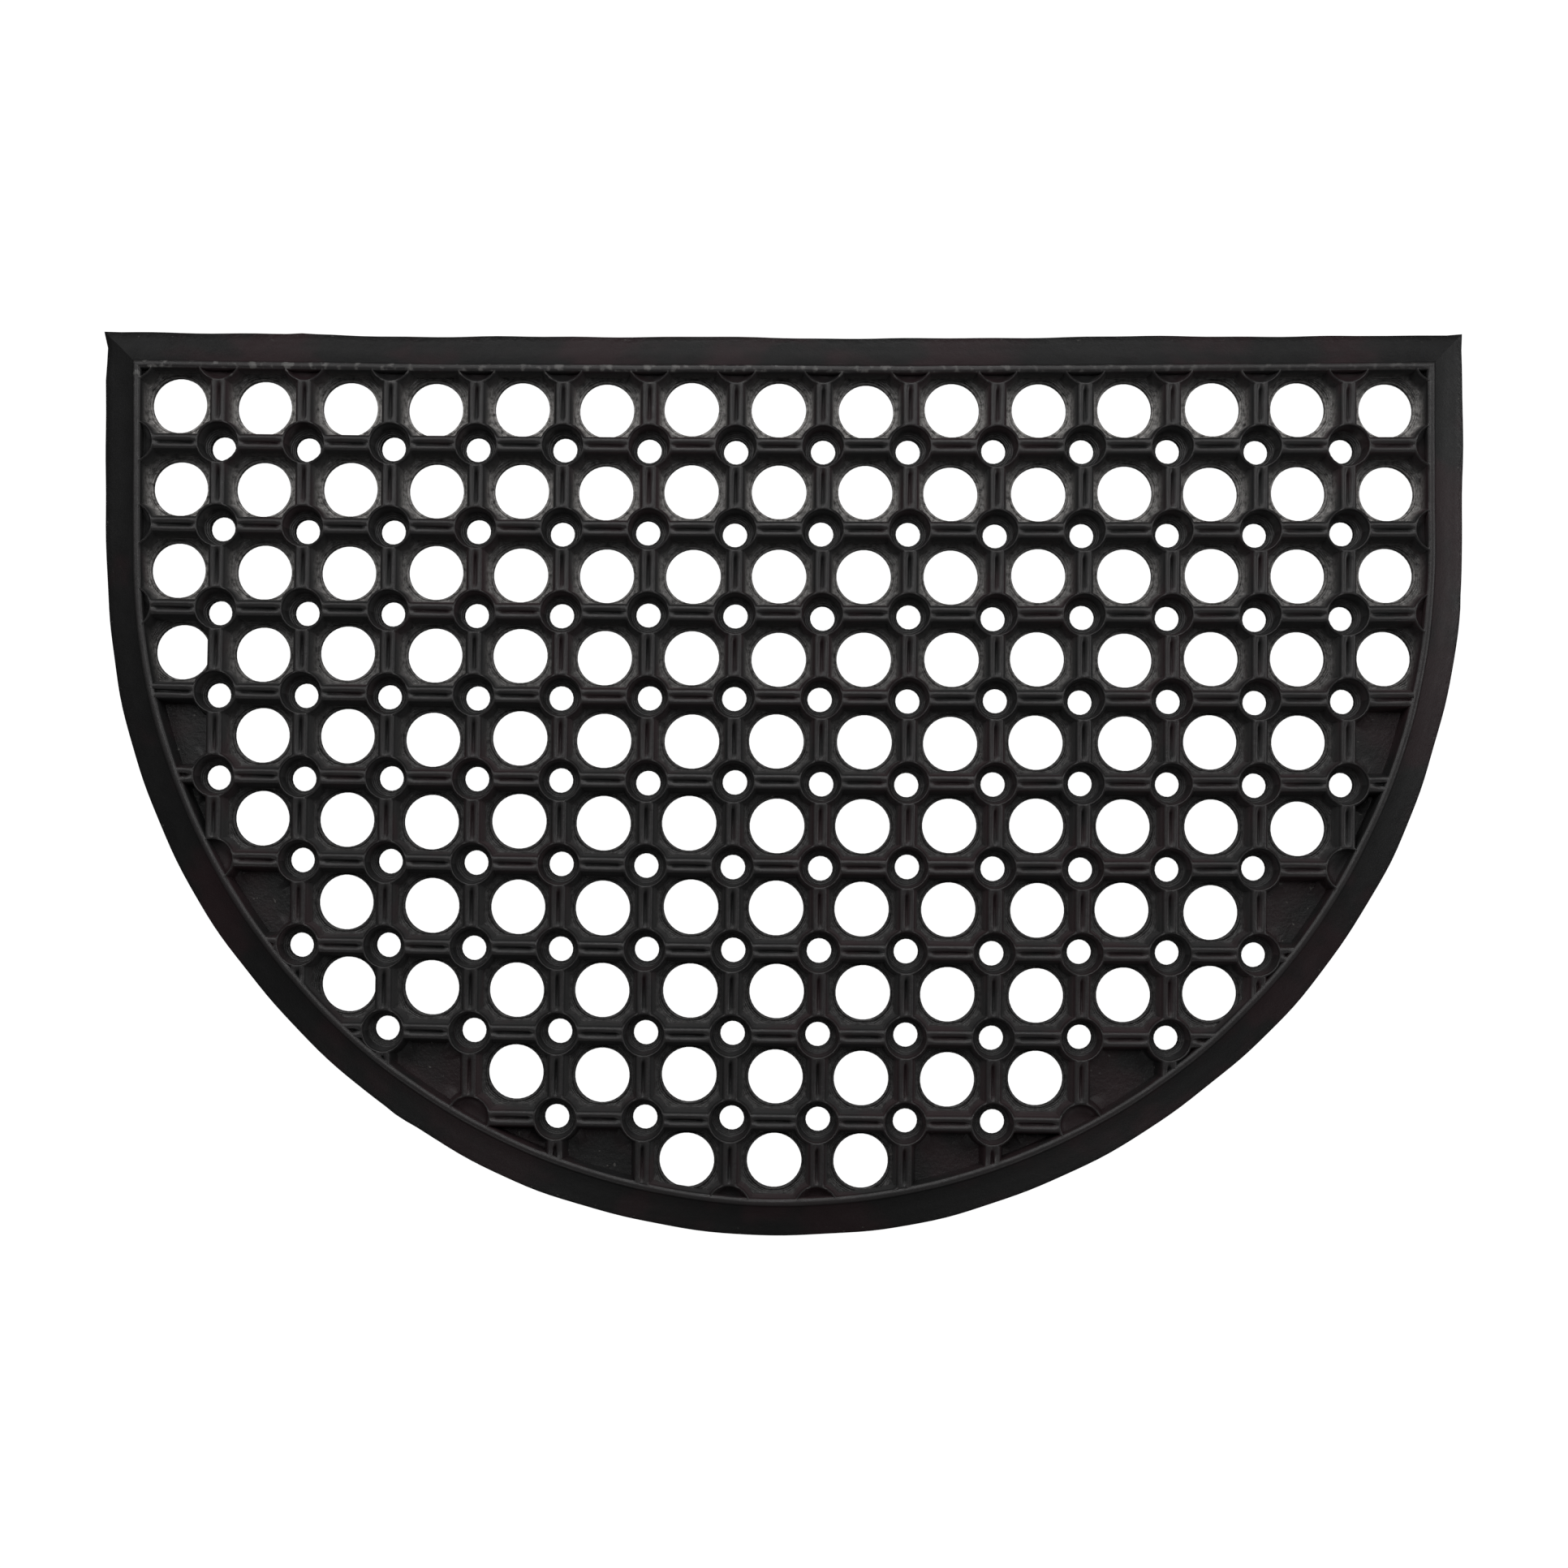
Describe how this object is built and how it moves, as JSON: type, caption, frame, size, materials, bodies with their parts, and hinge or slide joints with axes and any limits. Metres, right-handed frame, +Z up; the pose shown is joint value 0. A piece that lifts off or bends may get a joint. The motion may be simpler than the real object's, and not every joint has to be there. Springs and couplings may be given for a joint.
{
  "type": "half-round rubber doormat",
  "caption": "Flat half-round doormat moulded in black rubber, with a sloped border and an open lattice of cups and ribs round large and small drain holes.",
  "frame": {"origin": "on the ground, at the middle of the mat's bounding box", "axes": "+X along the straight back edge, +Y from the round front towards the straight back edge, +Z up"},
  "size_m": [0.6, 0.4, 0.012],
  "materials": {
    "rubber": "matt black moulded rubber"
  },
  "bodies": {
    "root": {"mat": "rubber"}
  },
  "joints": []
}
